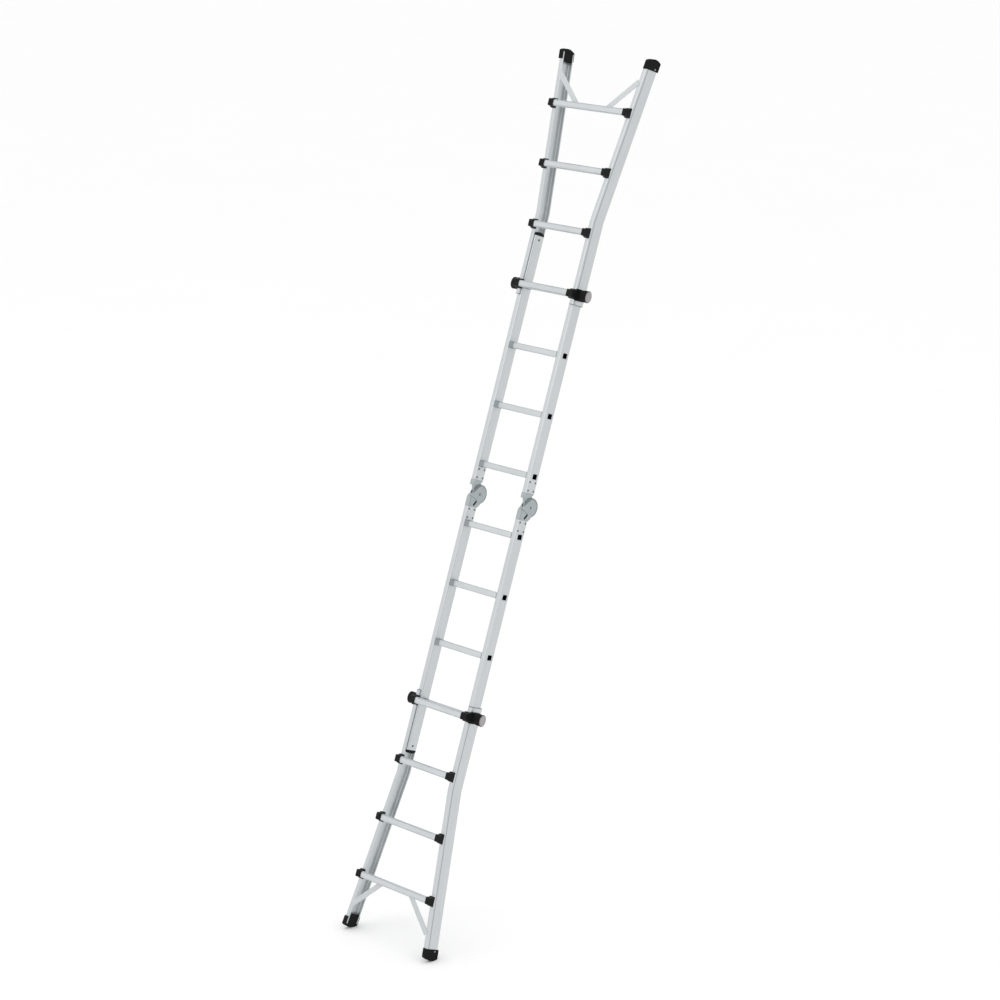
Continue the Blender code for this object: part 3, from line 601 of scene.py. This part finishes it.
# ---- feet and plugs ------------------------------------------------------------------------
def build_feet():
    wall = 0.003
    front, back = OUTER_FRONT - wall, OUTER_BACK + wall
    middle, half = (front + back) / 2, (back - front) / 2
    rise = FOOT_TIP - FOOT_SIDE
    radius = (half * half + rise * rise) / (2 * rise)
    spread = math.degrees(math.asin(half / radius))
    centre = (middle, FOOT_TIP - radius)
    # The sole carries shallow grooves across the tread.
    sole = []
    grooves = 7
    for i in range(grooves):
        start = 90 - spread + 2 * spread * i / grooves
        stop = 90 - spread + 2 * spread * (i + 1) / grooves
        span = stop - start
        sole += arc(centre, radius, start + span * 0.14, stop - span * 0.14, 2)
        if i < grooves - 1:
            sole += arc(centre, radius - 0.0016, stop - span * 0.08, stop + span * 0.08, 1)
    outline = [(front, FOOT_START), (back, FOOT_START),
               *arc(centre, radius, 90 - spread, 90 - spread + 0.01, 1)[:1], *sole,
               *arc(centre, radius, 90 + spread, 90 + spread + 0.01, 1)[:1]]
    cap = slab(outline, OUTER_INBOARD, OUTER_OUTBOARD + wall)
    seat = brick((OUTER_INBOARD - 0.01, OUTER_FRONT - GAP, FOOT_START - 0.01),
                 (OUTER_OUTBOARD + GAP, OUTER_BACK + GAP, OUTER_END + GAP))
    plug = brick((OUTER_INBOARD, OUTER_FRONT + 0.0063, 2.020),
                 (OUTER_OUTBOARD - 0.0043, OUTER_BACK - 0.0063, OUTER_END + 0.002))
    cap = combine(combine(cap, "DIFFERENCE", seat), "UNION", plug)
    on_every_stile("foot_cap", flared(cap), RUBBER, "outer", "foot", 0.0008)
    rivet = dome((0.012, 2.037), FOOT_RIVET[0], OUTER_OUTBOARD + wall - 0.0008, FOOT_RIVET[1])
    on_every_stile("foot_rivet", flared(rivet), (STEEL, STEEL), "outer")


def dome(centre, radius, base, height, facing=1.0):
    """Low domed blind rivet head on an x face, hollow in the middle; the hollow takes the piece's
    second material, which the hinge rivets give as painted shade.
    """
    rings = []
    for across, up in ((1.0, 0.0), (1.0, 0.28), (0.93, 0.66), (0.76, 0.94), (0.60, 1.0),
                       (0.46, 0.92), (0.42, 0.70), (0.40, 0.15)):
        rings.append([(base + facing * up * height, y, z)
                      for y, z in oval(centre, (radius * across,) * 2, 24)])
    mesh = loft(rings)
    return paint(mesh, lambda face: math.hypot(face.center.y - centre[0],
                                               face.center.z - centre[1]) < radius * 0.45, 1)


def build_plugs():
    front, back = INNER_FRONT + 0.0005, INNER_BACK - 0.0005
    middle, half = (front + back) / 2, (back - front) / 2
    crown = [(middle + half * math.cos(math.pi * i / 24),
              INNER_END + 0.005 + 0.011 * math.sin(math.pi * i / 24)) for i in range(25)]
    outline = [(front, INNER_END + GAP), (back, INNER_END + GAP), *crown]
    head = slab(outline, INNER_INBOARD + 0.0005, INNER_OUTBOARD - 0.0005, 0.0022, 3)
    on_every_stile("end_plug", head, PLASTIC, "inner", "stile_plug")
    # The plug rivet is painted near-black all over, as painted shade of a punched hole.
    rivet = dome((-0.0035, 1.192), PLUG_RIVET[0], INNER_INBOARD + 0.0002, PLUG_RIVET[1], -1.0)
    on_every_stile("plug_rivet", rivet, (PLUG_HOLE_SHADE, PLUG_HOLE_SHADE), "inner")


# ---- hinges --------------------------------------------------------------------------------
def cheek(face, inward):
    """Side plate with a wide shallow chamfer and a facet cut towards the front and top."""
    heel = [(-0.002, -0.058), (0.0330, -0.0565), (0.0375, -0.0520), (0.0410, -0.0465)]
    start, stop, count = -64, 222, 66
    angles = [start + (stop - start) * i / count for i in range(count + 1)]
    full = [(PIVOT.y + c * CHEEK_RADIUS, s * CHEEK_RADIUS)
            for c, s in arc((0.0, 0.0), 1.0, start, stop, count)]
    ramps = [max(0.0, min(1.0, (CHAMFER_STOP - angle) / 8, (angle - start) / 4))
             for angle in angles]
    cut = [CHEEK_RADIUS - CHAMFER_WIDTH * ramp for ramp in ramps]
    turned = [(PIVOT.y + math.cos(math.radians(angle)) * radius,
               math.sin(math.radians(angle)) * radius) for angle, radius in zip(angles, cut)]
    plate = loft([[(x, y, z) for y, z in [*ring, *heel]]
                  for x, ring in ((face + inward * CHEEK_THICKNESS, full),
                                  (face + inward * CHAMFER_DEPTH, full), (face, turned))])
    turn = math.radians(45)
    outward, along = Vector((-math.sin(turn), math.cos(turn))), Vector((math.cos(turn),
                                                                        math.sin(turn)))
    near, far = FACET_REACH, CHEEK_RADIUS + 0.005
    section = [(near, face), (far, face + inward * (far - near) * FACET_SLOPE),
               (far, face - inward * 0.002), (near, face - inward * 0.002)]
    wedge = loft([[(x, PIVOT.y + outward.x * reach + along.x * run,
                    outward.y * reach + along.y * run) for reach, x in section]
                  for run in (-0.05, 0.05)])
    return combine(plate, "DIFFERENCE", wedge)


def round_front(mesh):
    """Rounds the two upright front corners of a hinge block like its stile's."""
    bm = bmesh.new()
    bm.from_mesh(mesh)
    corners = [edge for edge in bm.edges
               if abs(edge.verts[0].co.x - edge.verts[1].co.x) < 1e-7
               and all(abs(vert.co.y - INNER_FRONT) < 1e-6 for vert in edge.verts)]
    bmesh.ops.bevel(bm, geom=corners, offset=BLOCK_CORNER, segments=4, profile=0.5, affect="EDGES",
                    clamp_overlap=True)
    return to_mesh(bm)


def slot_bar(top, bottom, radius, low, high):
    a, b = Vector(top), Vector(bottom)
    heading = math.degrees(math.atan2(b.y - a.y, b.x - a.x))
    return slab([*arc(a, radius, heading + 90, heading + 270, 10),
                 *arc(b, radius, heading - 90, heading + 90, 10)], low, high)


def build_hinges():
    pivot = (PIVOT.y, 0.0)
    front, back = INNER_FRONT, INNER_BACK
    end = -INNER_START + GAP
    body = [(front, end), (back, end), (back + 0.004, -0.057), (0.0215, -0.047),
            (0.0180, -0.036), (0.0132, -0.0300), (0.0080, -0.0289), (0.0028, -0.0269),
            (-0.0050, -0.0233), (-0.0122, -0.0203), (-0.0170, -0.0183), (-0.0215, -0.0168),
            (front, -0.0152)]
    block = round_front(slab(body, INNER_INBOARD, INNER_OUTBOARD))
    shoulder = [(front, -0.0150), (front, -0.030), (-0.005, -0.030), (-0.010, -0.015),
                (-0.0165, -0.0035), (-0.0195, -0.0012)]
    block = combine(block, "UNION", slab(shoulder, CHEEK_IN, CHEEK_OUT))
    relief = slab(oval(pivot, (TONGUE_RADIUS + 0.001,) * 2, 64), TONGUE_IN - GAP,
                  TONGUE_OUT + GAP)
    behind = brick((TONGUE_IN - GAP, 0.026, -0.0605), (TONGUE_OUT + GAP, 0.09, 0.02))
    block = combine(block, "DIFFERENCE", relief, behind)
    sides = (cheek(CHEEK_OUT, -1), cheek(CHEEK_IN, 1))
    pin_hole = slab(oval(pivot, (PIN_RADIUS + GAP,) * 2, 32), 0.1, 0.2)
    slot_cut = slot_bar(SLOT_TOP, SLOT_BOTTOM, SLOT_WIDTH / 2 + 0.0004, 0.1, 0.2)
    # The slot is cast into a shallow pocket, wide at its upper end; the pocket's floor and the
    # slot's walls get painted shade.
    pocket_outline = [(0.0080, -0.0315), (0.0135, -0.0305), (0.0168, -0.0325),
                      (0.0162, -0.0360), (0.0130, -0.0430), (0.0065, -0.0525),
                      (0.0028, -0.0548), (0.0010, -0.0520), (0.0032, -0.0440),
                      (0.0050, -0.0380)]
    # A narrow cast groove follows the raised block's upper edge on both faces; its floor gets
    # painted shade.
    edge_line = [(-0.0400, -0.0152), (-0.0215, -0.0168), (-0.0122, -0.0203),
                 (0.0028, -0.0269), (0.0132, -0.0300)]
    groove = ([(y, z + 0.0024) for y, z in edge_line]
              + [(y, z - 0.0001) for y, z in reversed(edge_line)])
    floors = (CHEEK_OUT - POCKET_DEPTH, CHEEK_IN + POCKET_DEPTH)
    cuts = [slab(shape, *reach) for shape in (groove, pocket_outline)
            for reach in ((floors[0], 0.2), (0.1, floors[1]))]
    lower = combine(combine(block, "UNION", *sides), "DIFFERENCE", pin_hole, slot_cut, *cuts)

    def near_slot(y, z):
        run = Vector(SLOT_BOTTOM) - Vector(SLOT_TOP)
        place = Vector((y, z)) - Vector(SLOT_TOP)
        along = max(0.0, min(1.0, place.dot(run) / run.length_squared))
        return (place - run * along).length < SLOT_WIDTH / 2 + 0.0006

    def shade(face):
        """Material index: 0 face, 1 chamfered rim in painted shade, 2 deeper painted shade on the
        facet, groove, pocket and slot.
        """
        x, y, z = face.center
        reach, flatness = math.hypot(y - pivot[0], z), abs(face.normal.x)
        in_groove = any(abs(x - floor) < 0.0002 for floor in floors) and flatness > 0.9
        facet = 0.90 < flatness < 0.985
        if in_groove or facet or (flatness < 0.5 and near_slot(y, z)):
            return 2
        on_rim = flatness < 0.998 and reach > CHEEK_RADIUS - 0.0070 and y > -0.001
        return 1 if on_rim and z > -0.041 else 0

    for face in lower.polygons:
        face.material_index = shade(face)

    top = INNER_START - GAP
    neck = [(front, top), (front, 0.038), (front + 0.0006, 0.0366), (front + 0.002, 0.036),
            (0.0125, 0.0500), (back - 0.001, 0.0625), (back - 0.001, top)]
    upper_block = round_front(slab(neck, INNER_INBOARD, INNER_OUTBOARD))
    tongue = [(front + 0.005, 0.036), *arc(pivot, TONGUE_RADIUS, 205, 420, 44),
              (0.016, 0.058), (front + 0.005, 0.045)]
    upper = combine(upper_block, "UNION", slab(tongue, TONGUE_IN, TONGUE_OUT))
    # A shallow groove follows the upper block's lower edge on both faces of the tongue; its floor
    # gets painted shade.
    brow = [(-0.0262, 0.0362), (0.0110, 0.0487), (0.0150, 0.0513), (0.0150, 0.0485),
            (0.0110, 0.0462), (-0.0262, 0.0337)]
    upper = combine(upper, "DIFFERENCE", pin_hole.copy(),
                    slab(brow, TONGUE_OUT - BROW_DEPTH, CHEEK_OUT),
                    slab(brow, CHEEK_IN, TONGUE_IN + BROW_DEPTH))
    paint(upper, lambda face: abs(face.normal.x) > 0.9 and any(
        abs(face.center.x - x) < 0.0002
        for x in (TONGUE_OUT - BROW_DEPTH, TONGUE_IN + BROW_DEPTH)), 1)

    # Pin with an oblong driving recess in each end.
    pin = slab(oval(pivot, (PIN_RADIUS,) * 2, 32), CHEEK_IN + GAP, CHEEK_OUT - GAP, 0.0004)
    mark_top, mark_bottom = (pivot[0], RECESS_HALF), (pivot[0], -RECESS_HALF)
    for low, high in ((floors[0], CHEEK_OUT + 0.01), (CHEEK_IN - 0.01, floors[1])):
        recess = slot_bar(mark_top, mark_bottom, RECESS_RADIUS, low, high)
        pin = combine(pin, "DIFFERENCE", recess)
    for side in ("left", "right"):
        add_piece(f"hinge_fork_{side}", lower, (CASTING, CASTING_RIM_SHADE, CASTING_SHADE),
                  "lower_inner", side,
                  replaces=(f"hinge_lower_leaf_{side}",), edge=0.0005)
        add_piece(f"hinge_tongue_{side}", upper, (CASTING, CASTING_SHADE), "upper_inner",
                  side, replaces=(f"hinge_upper_leaf_{side}",), edge=0.0005)
        add_piece(f"hinge_axle_{side}", pin, CASTING, "lower_inner", side,
                  replaces=(f"hinge_pin_{side}",))
        # A black slab in each recess stands in for its painted shade.
        for face, x, depth in (("out", floors[0], RECESS_SHADE_DEPTH),
                               ("in", floors[1], -RECESS_SHADE_DEPTH)):
            recess_shade = slot_bar(mark_top, mark_bottom, RECESS_SHADE_RADIUS, *sorted((x, x + depth)))
            add_piece(f"hinge_axle_recess_{side}_{face}", recess_shade, DARK, "lower_inner",
                      side)
    for row, z in enumerate(RIVET_ROWS):
        for column, y in enumerate(RIVET_COLUMNS):
            for face, x, facing in (("out", INNER_OUTBOARD + 0.0001, 1.0),
                                    ("in", INNER_INBOARD - 0.0001, -1.0)):
                rivet = dome((y, z), HINGE_RIVET[0], x, HINGE_RIVET[1], facing)
                on_every_stile(f"hinge_rivet_{face}_{row + 1}{column + 1}", rivet,
                               (RIVET, RIVET_CENTRE_SHADE), "inner")


build_rungs()
build_brackets()
build_locks()
build_feet()
build_plugs()
build_hinges()


# ---- floor, light and camera ---------------------------------------------------------------
def plain_white(name, value, roughness):
    n = Nodes(name)
    tone = n.noise(0.8, detail=2.0)
    low = (value - 0.01,) * 3
    return n.finish(n.blend(tone, low, (value,) * 3), n.spread(tone, roughness, roughness + 0.05),
                    0.0, Specular_IOR_Level=0.1)


floor_bm = bmesh.new()
bmesh.ops.create_circle(floor_bm, cap_ends=True, segments=96, radius=260.0)
floor = bpy.data.objects.new("studio_floor", to_mesh(floor_bm, "studio_floor"))
floor.location = (0.0, 0.0, -0.0005)
floor.data.materials.append(plain_white("studio_floor", 0.99, 0.85))
bpy.context.scene.collection.objects.link(floor)

world = bpy.data.worlds.new("studio")
world.use_nodes = True
world.node_tree.nodes["Background"].inputs["Color"].default_value = (1.0, 1.0, 1.0, 1.0)
world.node_tree.nodes["Background"].inputs["Strength"].default_value = 1.0
bpy.context.scene.world = world
bpy.context.scene.view_settings.view_transform = "Standard"


def panel(name, place, aim, size, watts):
    light = bpy.data.lights.new(name, "AREA")
    light.shape = "RECTANGLE"
    light.size, light.size_y = size
    light.energy = watts
    lamp = bpy.data.objects.new(name, light)
    lamp.location = place
    lamp.rotation_euler = (Vector(aim) - Vector(place)).to_track_quat("-Z", "Y").to_euler()
    bpy.context.scene.collection.objects.link(lamp)


panel("key", (-2.0, -9.0, 9.0), (0.0, 0.0, 2.0), (7.0, 7.0), 160.0)

AZIMUTH, ELEVATION, DISTANCE = math.radians(46.5), math.radians(14.67), 14.654
TARGET = Vector((0.0015, 0.004, 1.963))
away = Vector((math.sin(AZIMUTH) * math.cos(ELEVATION), -math.cos(AZIMUTH) * math.cos(ELEVATION),
               math.sin(ELEVATION)))
camera = bpy.data.objects.new("camera", bpy.data.cameras.new("camera"))
camera.data.lens = 116.2
camera.data.clip_end = 1000.0
camera.location = TARGET + away * DISTANCE
camera.rotation_euler = (-away).to_track_quat("-Z", "Y").to_euler()
bpy.context.scene.collection.objects.link(camera)
bpy.context.scene.camera = camera
